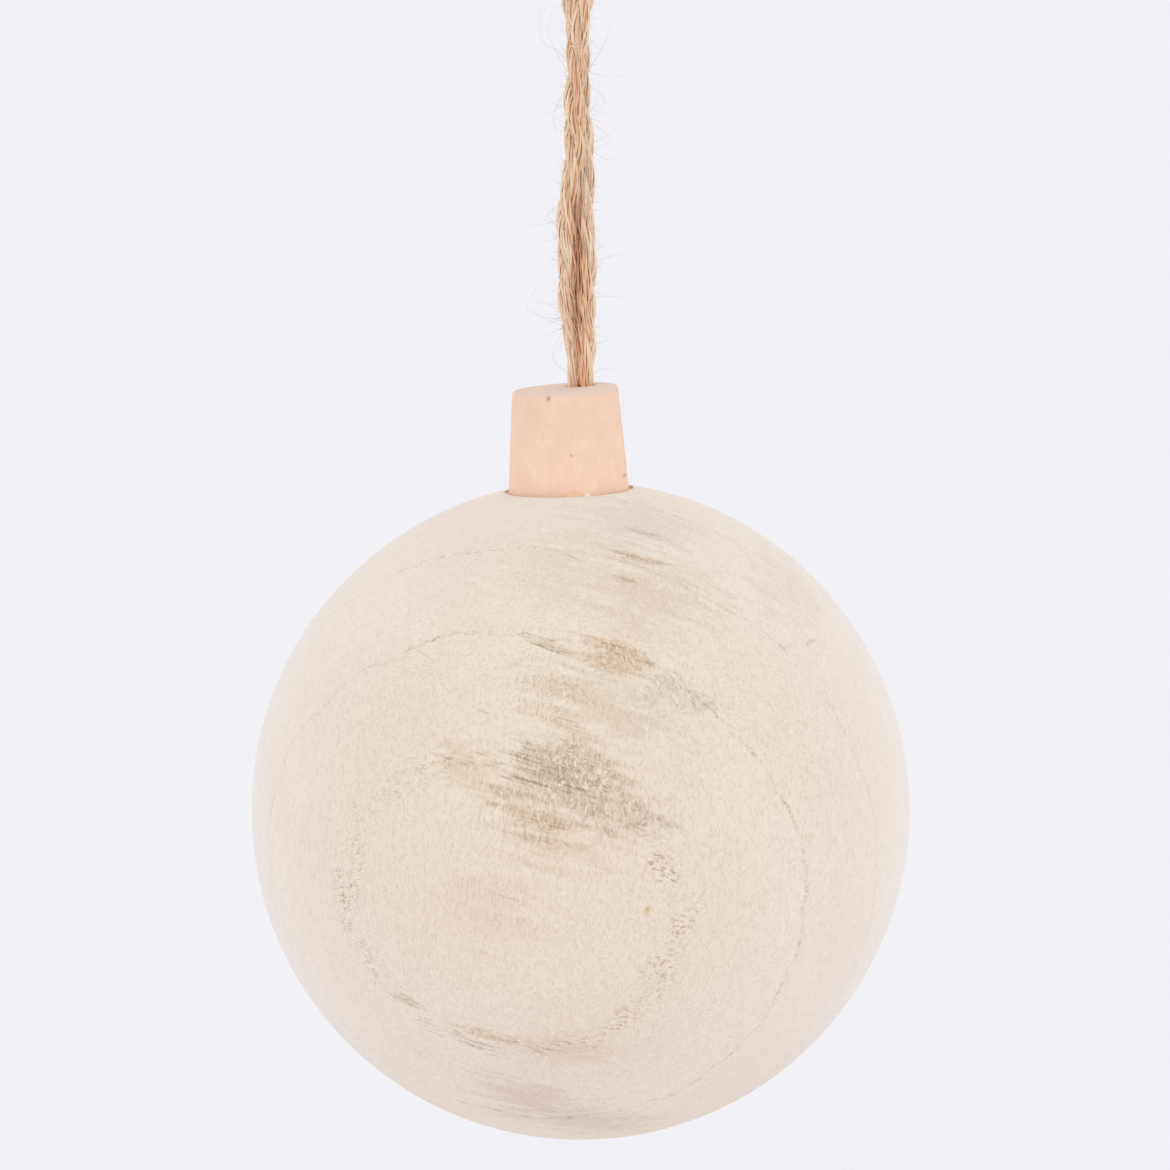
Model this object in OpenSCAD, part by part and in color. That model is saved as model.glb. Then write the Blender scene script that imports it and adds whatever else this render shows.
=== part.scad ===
// Wooden ball ornament: a turned ball, a tapered cap glued to its crown and a cord hanger.
// It is drawn as it hangs. The origin is the hang point, under the bend of the cord's loop.

/* [Ball] */
// Diameter of the turned ball
ball_d = 80; // [60:1:100]
// Depth of the flat seat below the seat's own rim
seat_recess = 0.3; // [0.1:0.05:1.5]
// Gap between the seat's rim and the foot of the cap
seat_room = 0.6; // [0.2:0.1:1.5]
// Depth of the knot pocket below the seat
pocket_depth = 12; // [8:0.5:20]

/* [Cap] */
// Diameter of the cap at its foot
cap_foot_d = 14.6; // [13:0.1:18]
// Diameter of the cap at its top, before the edge is broken
cap_top_d = 12.8; // [11.6:0.1:13]
// Height of the cap above the seat
cap_h = 12.7; // [8:0.1:18]
// Radius that breaks the cap's top edge
cap_edge_r = 0.4; // [0.2:0.05:1]
// Distance of the cord hole from the middle of the cap, to the right of the photo's side
cord_hole_right = 1.9; // [0:0.1:2.4]
// Distance of the cord hole from the middle of the cap, away from the photo's side
cord_hole_back = 2.2; // [0.1:0.1:2.4]

/* [Hanger] */
// Diameter of the cord
cord_d = 2.2; // [1.6:0.1:2.6]
// Gap between the two legs of the doubled cord
leg_gap = 0.1; // [0.05:0.05:0.4]
// Share of the cord's thickness that is left where the hole squeezes it
cord_squeeze = 0.72; // [0.6:0.02:0.8]
// Gap between the cord and the wall of its hole
cord_hole_room = 0.06; // [0.02:0.02:0.3]
// Radius of the cord's middle where it bends over a hook
eye_r = 5; // [4.5:0.1:7]
// Diameter of the knot under the cap
knot_d = 6; // [5.6:0.1:6.4]
// Height of the knot, down from the cap's underside
knot_h = 5; // [4.5:0.1:5.4]
// Gap between the knot and the wall of its pocket
knot_room = 0.35; // [0.2:0.05:0.8]

/* [Hidden] */
$fn = 128;
// Overrun of a cut past the surface that it opens
cut = 1;

ball_r = ball_d / 2;
cord_r = cord_d / 2;
cap_foot_r = cap_foot_d / 2;
cap_top_r = cap_top_d / 2;

// The seat is a shallow flat, a little wider than the cap, and the cap's foot stands on it.
seat_r = cap_foot_r + seat_room;
seat_h = sqrt(ball_r * ball_r - seat_r * seat_r) - seat_recess;

// The cord hole is off the middle, so the ball hangs tilted, with its centre plumb under the hole's mouth.
cord_hole = [cord_hole_right, cord_hole_back, 0];
mouth_h = seat_h + cap_h;
hang_tilt = atan(norm(cord_hole) / mouth_h);
hole_way = cord_hole / norm(cord_hole);
cap_axis = [0, 0, cos(hang_tilt)] - sin(hang_tilt) * hole_way;

// The legs lie side by side, squeezed together where they pass through the hole.
leg_r = (cord_d + leg_gap) / 2;
cord_hole_r = cord_squeeze * (leg_r + cord_r) + cord_hole_room;

pocket_r = norm(cord_hole) + knot_d / 2 + knot_room;

// Turn of the pair inside the hole
mouth_turn = 55;
// Stations of the doubled cord, from the cap's top up to the loop's bend:
// height above the cap, sideways drift, turn of the pair, how far the loop is open from 0 to 1,
// and the share of the cord's thickness that is left
stations = [
    [0, 0, mouth_turn, 0, cord_squeeze],
    [5, 0, 60, 0, (1 + cord_squeeze) / 2],
    [10, -0.5, 78, 0, 1],
    [15, -0.4, 92, 0, 1],
    [20, -0.6, 105, 0, 1],
    [25, -0.3, 135, 0, 1],
    [30, -0.2, 150, 0, 1],
    [35, -0.4, 162, 0, 1],
    [40, -0.3, 172, 0, 1],
    [45, -0.3, 205, 0, 1],
    [50, -0.2, 245, 0, 1],
    [55, 0, 265, 0.2, 1],
    [60, 0, 270, 0.55, 1],
    [65, 0, 270, 0.85, 1],
];
// Height of the middle of the loop's bend above the cap
bend_h = 69;
bend_steps = 6;
cord_sides = 8;

hang_h = bend_h + eye_r - cord_r;
ball_drop = hang_h + mouth_h / cos(hang_tilt);

function unit(v) = v / norm(v);

// A point of the body frame, with the ball's centre at its origin and the cap up, as it hangs
function hang(p) =
    let (out = p * hole_way, up = [0, 0, 1])
    p + out * ((cos(hang_tilt) - 1) * hole_way + sin(hang_tilt) * up)
    + p[2] * ((cos(hang_tilt) - 1) * up - sin(hang_tilt) * hole_way) - ball_drop * up;

// Sideways place of a leg in the pair; side is 1 for the leg in front at the cap and -1 for the other
function leg_side(reach, turn) = reach * [sin(turn), -cos(turn), 0];

// Middle of one leg at a station
function leg_point(s, side) =
    leg_side(side * (s[4] * leg_r + s[3] * (eye_r - leg_r)), s[2]) + [s[1], 0, s[0] - hang_h];

// Middle of one leg at a height above the seat, inside the cap
function hole_point(h, side) =
    hang(cord_hole + leg_side(side * cord_squeeze * leg_r, mouth_turn) + [0, 0, seat_h + h]);

// One leg from the knot up to the bend: its end on the knot, its middle in the cap, its stations.
function leg(side) = concat(
    [for (h = [0, cap_h / 2]) hole_point(h, side)],
    [for (s = stations) leg_point(s, side)]
);
leg_share = concat([cord_squeeze, cord_squeeze], [for (s = stations) s[4]]);

// The bend over the hook, from the front leg's side, which the turn has carried to -X, to +X.
bend = [for (i = [0 : bend_steps])
    let (a = 180 - 180 * i / bend_steps)
    [eye_r * cos(a), 0, bend_h - hang_h + eye_r * sin(a)]];

leg_up = leg(1);
leg_down = leg(-1);
route = concat(leg_up, bend, [for (i = [len(leg_down) - 1 : -1 : 0]) leg_down[i]]);
share = concat(leg_share, [for (i = bend) 1], [for (i = [len(leg_share) - 1 : -1 : 0]) leg_share[i]]);

// The end rings lie flat on the knot, square to the cap's axis.
function heading(i) =
    i == 0 ? cap_axis :
    i == len(route) - 1 ? -cap_axis :
    unit(route[i + 1] - route[i - 1]);

// One ring of the cord; the route never runs along Y, so Y sets where each ring starts.
function ring(i) =
    let (along = heading(i), across = unit(cross(along, [0, 1, 0])), deep = cross(across, along))
    [for (k = [0 : cord_sides - 1])
        let (a = 360 * (k + 0.5) / cord_sides)
        route[i] + share[i] * cord_r * (cos(a) * across + sin(a) * deep)];

// Body frame: the ball's centre at its origin, the cap up.
module hung() {
    translate([0, 0, -ball_drop]) rotate(hang_tilt, [hole_way[1], -hole_way[0], 0]) children();
}

module wooden_ball() {
    color("#ecdfcb") hung() difference() {
        sphere(d = ball_d);
        translate([0, 0, seat_h]) cylinder(r = seat_r, h = ball_r);
        translate([0, 0, seat_h - pocket_depth]) cylinder(r = pocket_r, h = pocket_depth + cut);
    }
}

// Half section of the cap: a taper whose top edge is an arc that touches the side and the top.
module cap_section() {
    slope = norm([cap_foot_r - cap_top_r, cap_h]);
    out = [cap_h, cap_foot_r - cap_top_r] / slope;
    rise = cap_h - cap_edge_r;
    edge = [cap_foot_r - (out[1] * rise + cap_edge_r) / out[0], rise];
    polygon([[0, 0], [cap_foot_r, 0], edge + cap_edge_r * out, [edge[0], cap_h], [0, cap_h]]);
    translate(edge) circle(r = cap_edge_r);
}

module wooden_cap() {
    color("#f0cfb4") hung() translate([0, 0, seat_h]) difference() {
        rotate_extrude() cap_section();
        translate(cord_hole - [0, 0, cut]) cylinder(r = cord_hole_r, h = cap_h + 2 * cut);
    }
}

module hanger_cord() {
    rings = len(route);
    color("#cfa877") polyhedron(
        points = [for (i = [0 : rings - 1]) each ring(i)],
        faces = concat(
            [[for (k = [0 : cord_sides - 1]) k]],
            [for (i = [0 : rings - 2], k = [0 : cord_sides - 1])
                let (next = (k + 1) % cord_sides)
                [i * cord_sides + k, (i + 1) * cord_sides + k,
                 (i + 1) * cord_sides + next, i * cord_sides + next]],
            [[for (k = [cord_sides - 1 : -1 : 0]) (rings - 1) * cord_sides + k]]
        )
    );
}

// The tied ends: a ball of cord pulled flat against the cap's underside.
module hanger_knot() {
    color("#c39a69") hung() translate(cord_hole + [0, 0, seat_h]) difference() {
        translate([0, 0, knot_d / 2 - knot_h]) sphere(d = knot_d);
        cylinder(d = knot_d, h = knot_d);
    }
}

wooden_ball();
wooden_cap();
hanger_cord();
hanger_knot();
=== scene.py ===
import math
import random

import bpy
import numpy as np
from mathutils import Matrix, Vector, noise


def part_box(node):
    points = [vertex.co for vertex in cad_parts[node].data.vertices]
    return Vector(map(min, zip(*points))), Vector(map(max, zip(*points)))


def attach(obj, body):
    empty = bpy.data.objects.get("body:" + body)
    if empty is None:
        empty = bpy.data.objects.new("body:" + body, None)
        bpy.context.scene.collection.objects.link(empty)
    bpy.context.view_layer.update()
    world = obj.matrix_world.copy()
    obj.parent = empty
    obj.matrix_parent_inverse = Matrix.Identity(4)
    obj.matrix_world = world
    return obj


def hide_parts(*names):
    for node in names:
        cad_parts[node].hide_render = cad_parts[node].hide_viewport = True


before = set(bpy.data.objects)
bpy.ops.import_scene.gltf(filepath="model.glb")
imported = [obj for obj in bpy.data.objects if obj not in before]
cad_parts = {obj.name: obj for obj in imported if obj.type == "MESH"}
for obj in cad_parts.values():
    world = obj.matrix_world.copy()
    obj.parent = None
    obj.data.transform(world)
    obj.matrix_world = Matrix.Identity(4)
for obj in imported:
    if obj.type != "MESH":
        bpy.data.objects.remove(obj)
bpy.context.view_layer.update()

MM = 0.001

# The ball, from its box in the frame: the seat is cut from its top, so its foot gives the centre
ball_low, ball_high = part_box("wooden_ball")
BALL_R = (ball_high.x - ball_low.x) / 2
BALL_CENTRE = Vector(((ball_low.x + ball_high.x) / 2, (ball_low.y + ball_high.y) / 2, ball_low.z + BALL_R))

# Sizes of the construction, in metres
CAP_FOOT_R = 0.0073
CAP_TOP_R = 0.0064
CAP_H = 0.0127
CAP_EDGE_R = 0.0004
SEAT_ROOM = 0.0006
SEAT_RECESS = 0.0003
POCKET_DEPTH = 0.012
HOLE = Vector((0.0019, 0.0022, 0))
HOLE_ROOM = 0.00006
CORD_D = 0.0022
CORD_SQUEEZE = 0.72
LEG_GAP = 0.0001
MOUTH_TURN = 55
EYE_R = 0.005
KNOT_D = 0.006
KNOT_H = 0.005
KNOT_ROOM = 0.00035

CORD_R = CORD_D / 2
SEAT_R = CAP_FOOT_R + SEAT_ROOM
RIM_H = math.sqrt(BALL_R ** 2 - SEAT_R ** 2)
SEAT_H = RIM_H - SEAT_RECESS
MOUTH_H = SEAT_H + CAP_H
HANG_TILT = math.atan(HOLE.length / MOUTH_H)
HOLE_WAY = HOLE.normalized()
LEG_R = (CORD_D + LEG_GAP) / 2
HOLE_R = CORD_SQUEEZE * (LEG_R + CORD_R) + HOLE_ROOM
POCKET_R = HOLE.length + KNOT_D / 2 + KNOT_ROOM

# Carries a piece modelled about the ball's centre, cap up, to where it hangs
TILT_AXIS = Vector((HOLE_WAY.y, -HOLE_WAY.x, 0))
HUNG = Matrix.Translation(BALL_CENTRE) @ Matrix.Rotation(HANG_TILT, 4, TILT_AXIS)
CAP_AXIS = HUNG.to_3x3() @ Vector((0, 0, 1))

# Route of the cord: height above the cap, sideways drift, turn of the pair, opening of the loop,
# and the share of the cord's thickness that is left
STATIONS = [
    (0.000, 0.0000, MOUTH_TURN, 0.00, CORD_SQUEEZE),
    (0.005, 0.0000, 60, 0.00, (1 + CORD_SQUEEZE) / 2),
    (0.010, -0.0005, 78, 0.00, 1),
    (0.015, -0.0004, 92, 0.00, 1),
    (0.020, -0.0006, 105, 0.00, 1),
    (0.025, -0.0003, 135, 0.00, 1),
    (0.030, -0.0002, 150, 0.00, 1),
    (0.035, -0.0004, 162, 0.00, 1),
    (0.040, -0.0003, 172, 0.00, 1),
    (0.045, -0.0003, 205, 0.00, 1),
    (0.050, -0.0002, 245, 0.00, 1),
    (0.055, 0.0000, 265, 0.20, 1),
    (0.060, 0.0000, 270, 0.55, 1),
    (0.065, 0.0000, 270, 0.85, 1),
]
BEND_H = 0.069
BEND_STEPS = 6
HANG_H = BEND_H + EYE_R - CORD_R

# The photograph's view: its size, and where the ball lies in it, in its pixels
PHOTO_PX = 1170
BALL_PX = (580.7, 809.9)
BALL_R_PX = 328.9
CAMERA_DISTANCE = 0.9
LOOK_DOWN = math.radians(4.86)
SENSOR = 36
FOCAL_PX = BALL_R_PX / math.tan(math.asin(BALL_R / CAMERA_DISTANCE))

# Directions of the wood in the ball: out through the growth layers, along the grain, across both,
# and the way in which the layers bow
LAYERS_OUT = Vector((-0.233, -0.9525, -0.1967)).normalized()
GRAIN_SEEN = Vector((0.94, -0.2083, -0.27))
GRAIN = (GRAIN_SEEN - GRAIN_SEEN.dot(LAYERS_OUT) * LAYERS_OUT).normalized()
ACROSS = LAYERS_OUT.cross(GRAIN)
BOW_WAY = Vector((0.968, -0.2083, -0.137)).normalized()
# Growth layers, in millimetres from the ball's centre: the outermost line, and the years' widths inwards
FIRST_LAYER = 35.8
LAYER_WIDTH = 8.3
LAYER_GROWTH = 1.1
LAYER_BOW = 0.0033


def srgb(red, green, blue):
    """A colour as a picture shows it, 0 to 255, in the linear values that a shader takes."""
    def linear(value):
        share = value / 255
        return share / 12.92 if share <= 0.04045 else ((share + 0.055) / 1.055) ** 2.4
    return (linear(red), linear(green), linear(blue), 1)


# Camera
def photo_camera():
    middle = PHOTO_PX / 2
    ball_down = LOOK_DOWN + math.atan((BALL_PX[1] - middle) / FOCAL_PX)
    ball_left = math.atan((middle - BALL_PX[0]) / FOCAL_PX)
    back = Vector((0, -math.cos(ball_down), math.sin(ball_down)))
    bpy.ops.object.camera_add(
        location=BALL_CENTRE + CAMERA_DISTANCE * back,
        rotation=(math.pi / 2 - LOOK_DOWN, 0, -ball_left),
    )
    camera = bpy.context.object
    camera.data.sensor_width = SENSOR
    camera.data.lens = SENSOR * FOCAL_PX / PHOTO_PX
    camera.data.clip_start = 0.01
    bpy.context.scene.camera = camera
    bpy.context.view_layer.update()
    return camera


def photo_ray(x, y):
    """The way from the camera through a pixel of the photograph."""
    return camera.matrix_world.to_3x3() @ Vector((x - PHOTO_PX / 2, PHOTO_PX / 2 - y, -FOCAL_PX))


def on_ball(x, y):
    """The point of the ball that a pixel of the photograph shows, in millimetres from the centre."""
    eye = camera.matrix_world.translation - BALL_CENTRE
    ray = photo_ray(x, y).normalized()
    middle = -eye.dot(ray)
    near = middle - math.sqrt(max(0, middle ** 2 - eye.length_squared + BALL_R ** 2))
    return (eye + near * ray) / MM


# How far the tilt carries the cap's middle aside and forward, in millimetres
CAP_LEAN = (-1.4, -2)


def on_cap(x, y):
    """About where a pixel of the photograph shows the cap, in millimetres from the ball's centre."""
    scale = BALL_R / MM / BALL_R_PX
    side = (x - BALL_PX[0]) * scale
    up = (BALL_PX[1] - y) * scale
    front = -math.sqrt(max(0, (CAP_FOOT_R / MM) ** 2 - (side - CAP_LEAN[0]) ** 2))
    return (side, front + CAP_LEAN[1], up)


def in_wood(point):
    """A point from the ball's centre as its places along the grain, across it and out of the layers."""
    return (point.dot(GRAIN), point.dot(ACROSS), point.dot(LAYERS_OUT))


# Seeds of the random draws
CORD_SEED = 11
HAIR_SEED = 12
KNOT_SEED = 13
LOOSE_FIBRE_SEED = 14
MATTED_SEED = 15
GLUE_SEED = 21

# Lines and tubes of fibre
SPAN_STEPS = 24
WAVES = 3


def smooth_line(points, step):
    """Evenly spaced points on the smooth curve through the given ones, and their distances along it."""
    ends = np.vstack([2 * points[0] - points[1], points, 2 * points[-1] - points[-2]])
    share = np.linspace(0, 1, SPAN_STEPS, endpoint=False)[:, None]
    spans = []
    for a, b, c, d in zip(ends, ends[1:], ends[2:], ends[3:]):
        cubic = 3 * b - 3 * c + d - a
        square = 2 * a - 5 * b + 4 * c - d
        spans.append(b + 0.5 * ((c - a) * share + square * share ** 2 + cubic * share ** 3))
    dense = np.vstack(spans + [points[-1:]])
    along = distances(dense[:, :3])
    even = np.linspace(0, along[-1], max(2, round(along[-1] / step) + 1))
    return np.column_stack([np.interp(even, along, dense[:, k]) for k in range(4)]), even


def distances(line):
    return np.concatenate([[0], np.cumsum(np.linalg.norm(np.diff(line, axis=0), axis=1))])


def unit_rows(vectors):
    return vectors / np.linalg.norm(vectors, axis=1)[:, None]


def ring_ways(heading, aside):
    """Two directions square to a line's headings, the first of them also square to a given way."""
    heading = unit_rows(heading)
    across = unit_rows(np.cross(heading, aside))
    return across, np.cross(across, heading)


def cord_ways(line, start, end):
    """Ring directions along the cord, with its ends' headings given; the cord never runs along Y."""
    heading = np.gradient(line, axis=0)
    heading[0], heading[-1] = start, end
    return ring_ways(heading, (0, 1, 0))


def round_by(turn, across, deep):
    """The direction at each point of a line that lies a turn round from its first ring direction."""
    return np.cos(turn)[:, None] * across + np.sin(turn)[:, None] * deep


def slow_waver(draw, distance, shortest, longest):
    """A smooth random wander along a strand, mostly within 1 of zero."""
    total = np.zeros_like(distance)
    for _ in range(WAVES):
        wave = draw.uniform(shortest, longest)
        total += np.sin(2 * math.pi * distance / wave + draw.uniform(0, 2 * math.pi))
    return total / 2


def tubes_mesh(name, tubes, sides, tones):
    """One mesh of closed tubes. Each tube is its line, its two ring directions and its radii."""
    points, faces, shades = [], [], []
    turns = 2 * math.pi * np.arange(sides) / sides
    base = 0
    for (line, across, deep, radii), tone in zip(tubes, tones):
        ring = (
            np.cos(turns)[None, :, None] * across[:, None, :]
            + np.sin(turns)[None, :, None] * deep[:, None, :]
        )
        points.append((line[:, None, :] + radii[:, None, None] * ring).reshape(-1, 3))
        shades.append(np.repeat(tone, sides))
        last = base + (len(line) - 1) * sides
        for row in range(base, last, sides):
            for k in range(sides):
                after = (k + 1) % sides
                faces.append((row + k, row + sides + k, row + sides + after, row + after))
        faces.append([base + k for k in range(sides)])
        faces.append([last + k for k in reversed(range(sides))])
        base = last + sides
    mesh = bpy.data.meshes.new(name)
    mesh.from_pydata(np.vstack(points).tolist(), [], faces)
    shade = mesh.attributes.new("tone", "FLOAT", "POINT")
    shade.data.foreach_set("value", np.concatenate(shades).astype(np.float32))
    mesh.polygons.foreach_set("use_smooth", np.ones(len(mesh.polygons), bool))
    mesh.update()
    piece = bpy.data.objects.new(name, mesh)
    bpy.context.scene.collection.objects.link(piece)
    return piece


# Cord
def leg_side(reach, turn):
    angle = math.radians(turn)
    return Vector((reach * math.sin(angle), -reach * math.cos(angle), 0))


def leg(side):
    """Middle of one leg, from the knot through the cap and its stations, with its thickness as a share."""
    squeezed = HOLE + leg_side(side * CORD_SQUEEZE * LEG_R, MOUTH_TURN)
    points = [(*(HUNG @ (squeezed + Vector((0, 0, SEAT_H + h)))), CORD_SQUEEZE) for h in (0, CAP_H / 2)]
    for height, drift, turn, opening, share in STATIONS:
        apart = leg_side(side * (share * LEG_R + opening * (EYE_R - LEG_R)), turn)
        points.append((apart.x + drift, apart.y, height - HANG_H, share))
    return points


def cord_route():
    bend = []
    for i in range(BEND_STEPS + 1):
        angle = math.pi * (1 - i / BEND_STEPS)
        bend.append((EYE_R * math.cos(angle), 0, BEND_H - HANG_H + EYE_R * math.sin(angle), 1))
    return np.array(leg(1) + bend + leg(-1)[::-1])


# Twine: three plies of fibre strands, of which every fifth crosses the lay
PLIES = 3
PLY_PITCH = 0.015
PLY_OFFSET = 0.00059
PLY_R = 0.0006
CORE_SHARE = 0.8
# The cores' dark tone is painted shade, seen between the strands
CORE_SHADE_TONE = 0.05
STRANDS_IN_PLY = 28
CROSSING = 5
STRAND_STEP = 0.001
STRAND_R = (0.000045, 0.00012)
LEAST_STRAND_R = 0.00004
TONE_WAVE = 0.0026
STRAND_SIDES = 4


def twine(line, distance, across, deep, share, seed):
    """A softly laid twine along a line: plies of wavering fibre strands round cores toned dark as painted
    shade.
    """
    draw = random.Random(seed)
    tubes, tones = [], []
    for ply in range(PLIES):
        lay = 2 * math.pi * (ply / PLIES + distance / PLY_PITCH)
        lay += 0.3 * slow_waver(draw, distance, 0.02, 0.05)
        swell = share * (1 + 0.08 * slow_waver(draw, distance, 0.012, 0.03))
        middle = line + (PLY_OFFSET * share)[:, None] * round_by(lay, across, deep)
        tubes.append((middle, across, deep, CORE_SHARE * PLY_R * share))
        tones.append(np.full(len(line), CORE_SHADE_TONE))
        drift = draw.uniform(0, 2 * math.pi)
        for strand in range(STRANDS_IN_PLY):
            crosses = strand % CROSSING == 0
            spot = 2 * math.pi * (strand + draw.uniform(-0.3, 0.3)) / STRANDS_IN_PLY
            slack = 0.15 if crosses else 0.75
            turn = spot - slack * lay + 0.45 * slow_waver(draw, distance, 0.008, 0.03)
            depth = draw.uniform(0.98, 1.08) if crosses else draw.uniform(0.8, 1.02)
            reach = PLY_R * swell * (depth + 0.09 * slow_waver(draw, distance, 0.006, 0.02))
            path = middle + reach[:, None] * round_by(turn, across, deep)
            thick = draw.uniform(*STRAND_R) * (1 + 0.3 * slow_waver(draw, distance, 0.004, 0.012))
            tone = 0.42 + 0.12 * ply + 0.15 * np.sin(2 * spot + drift + distance / TONE_WAVE)
            tone += draw.gauss(0, 0.14)
            tone += 0.12 * slow_waver(draw, distance, 0.003, 0.012)
            tubes.append((path, across, deep, np.maximum(thick, LEAST_STRAND_R)))
            tones.append(np.clip(tone, 0, 1))
    return tubes, tones


MATTED_STRANDS = 26
MATTED_REACH = 0.0009
MATTED_TOP = 0.051
MATTED_R = (0.00008, 0.00016)


def matted_fibre(seed):
    """Fibre that has matted between the two legs of the cord and holds them together, toned dark as painted
    shade.
    """
    draw = random.Random(seed)
    low = [station for station in STATIONS if station[0] < MATTED_TOP]
    middles = [(drift, 0, height - HANG_H, share) for height, drift, _, _, share in low]
    route, distance = smooth_line(np.array(middles), STRAND_STEP)
    line, share = route[:, :3], route[:, 3]
    across, deep = cord_ways(line, (0, 0, 1), (0, 0, 1))
    tubes, tones = [], []
    for _ in range(MATTED_STRANDS):
        turn = draw.uniform(0, 2 * math.pi) + 0.8 * slow_waver(draw, distance, 0.01, 0.03)
        depth = draw.uniform(0.1, 0.9) + 0.2 * slow_waver(draw, distance, 0.006, 0.02)
        path = line + (MATTED_REACH * share * depth)[:, None] * round_by(turn, across, deep)
        tubes.append((path, across, deep, np.full(len(line), draw.uniform(*MATTED_R))))
        # The dark tones are painted shade between the legs
        tone = draw.uniform(0, 0.4) + 0.15 * slow_waver(draw, distance, 0.004, 0.01)
        tones.append(np.clip(tone, 0, 1))
    return tubes, tones


# Stray hairs: every third one is long, and the others are short fuzz
HAIRS = 2700
LONG_HAIR = 3
LONG_LENGTH = (0.0004, 0.0052, 0.0008)
FUZZ_LENGTH = (0.0004, 0.0009)
HAIR_R = (0.000012, 0.000028)
HAIR_STEPS = 7
HAIR_SIDES = 3
HAIRLESS_ENDS = 20
LOWEST_HAIR = -HANG_H + 0.001


def stray_hairs(name, line, across, deep, seed):
    """Fine loose fibres that stand off the twine, each bent its own way."""
    draw = random.Random(seed)
    tubes, tones = [], []
    share = np.linspace(0, 1, HAIR_STEPS)
    for hair in range(HAIRS):
        at = draw.randrange(HAIRLESS_ENDS, len(line) - HAIRLESS_ENDS)
        if line[at][2] < LOWEST_HAIR:
            continue
        out = draw.uniform(0, 2 * math.pi)
        side = math.cos(out) * across[at] + math.sin(out) * deep[at]
        start = line[at] + 0.8 * CORD_R * side
        along = np.array([draw.uniform(-0.6, 0.6), draw.uniform(-0.6, 0.6), draw.choice((-1, 1))])
        length = draw.uniform(*FUZZ_LENGTH) if hair % LONG_HAIR else draw.triangular(*LONG_LENGTH)
        bend = np.array([draw.uniform(-1, 1) for _ in range(3)]) * draw.uniform(0.1, 0.7)
        lean = draw.uniform(0.2, 0.9)
        way = lean * side + (1 - lean) * along
        path = start + length * (share[:, None] * way + (share ** 2)[:, None] * bend)
        radii = draw.uniform(*HAIR_R) * (1 - 0.6 * share)
        tubes.append((path, *ring_ways(np.gradient(path, axis=0), (0.3, 1, 0.2)), radii))
        tones.append(np.full(HAIR_STEPS, draw.uniform(0.3, 1)))
    return tubes_mesh(name, tubes, HAIR_SIDES, tones)


# The longest loose fibres, as pixels of the photograph, and how far in front of the cord they lie
LOOSE_FIBRES = [
    ([(575, 328), (560, 325), (544, 318), (529, 309), (527, 304), (532, 295), (538, 286)], 0.0),
    ([(562, 304), (545, 304), (532, 302)], 0.0),
    ([(588, 118), (600, 129), (611, 139)], 0.0),
    ([(592, 150), (604, 159), (613, 158), (620, 156)], 0.0),
    ([(594, 262), (612, 256), (622, 254), (632, 249)], 0.0),
    ([(568, 72), (560, 60), (553, 45), (548, 30), (552, 12)], 0.0),
    ([(568, 64), (557, 50), (544, 44), (539, 25), (541, 8)], 0.0),
    ([(566, 88), (558, 104), (553, 118), (557, 132)], 0.0),
    ([(588, 72), (598, 55), (606, 40), (611, 25)], 0.0),
    ([(588, 84), (600, 92), (604, 104), (593, 116)], 0.0),
    ([(590, 112), (597, 104), (602, 108)], 0.0),
    ([(567, 372), (557, 364), (553, 352), (562, 330)], 0.0),
    ([(592, 345), (602, 342), (608, 340)], 0.0),
    ([(592, 374), (601, 369), (613, 371)], 0.0),
    ([(560, 225), (549, 217), (550, 212)], 0.0),
    ([(569, 46), (578, 47), (588, 46)], 0.0027),
]
LOOSE_FIBRE_R = 0.000026
LOOSE_FIBRE_STEP = 0.0003
LOOSE_FIBRE_SIDES = 4
LOOSE_FIBRE_SWAY = 0.0002


def loose_fibres(name, seed):
    """The fibres that the photograph shows standing well off the cord."""
    draw = random.Random(seed)
    tubes, tones = [], []
    eye = camera.matrix_world.translation
    for pixels, front in LOOSE_FIBRES:
        knots = []
        for x, y in pixels:
            ray = photo_ray(x, y)
            point = eye + ray * ((-front - eye.y) / ray.y)
            sway = draw.uniform(-LOOSE_FIBRE_SWAY, LOOSE_FIBRE_SWAY)
            knots.append((point.x, point.y + sway, point.z, 1))
        line, distance = smooth_line(np.array(knots), LOOSE_FIBRE_STEP)
        line = line[:, :3]
        thick = LOOSE_FIBRE_R * (1 - 0.5 * distance / distance[-1]) * (2 if front else 1)
        tubes.append((line, *ring_ways(np.gradient(line, axis=0), (0.05, 1, 0.05)), thick))
        tones.append(np.full(len(line), 1.0 if front else draw.uniform(0.5, 0.9)))
    return tubes_mesh(name, tubes, LOOSE_FIBRE_SIDES, tones)


def hanger():
    route, distance = smooth_line(cord_route(), STRAND_STEP)
    line, share = route[:, :3], route[:, 3]
    across, deep = cord_ways(line, CAP_AXIS, -CAP_AXIS)
    laid_tubes, laid_tones = twine(line, distance, across, deep, share, CORD_SEED)
    matted_tubes, matted_tones = matted_fibre(MATTED_SEED)
    cord = tubes_mesh("jute_cord", laid_tubes + matted_tubes, STRAND_SIDES, laid_tones + matted_tones)
    hairs = stray_hairs("jute_hairs", line, across, deep, HAIR_SEED)
    fibres = loose_fibres("jute_loose_fibres", LOOSE_FIBRE_SEED)
    return cord, hairs, fibres, line, distance[-1]


# Knot
KNOT_STEPS = 150
KNOT_CORD_SHARE = 0.8


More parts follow.
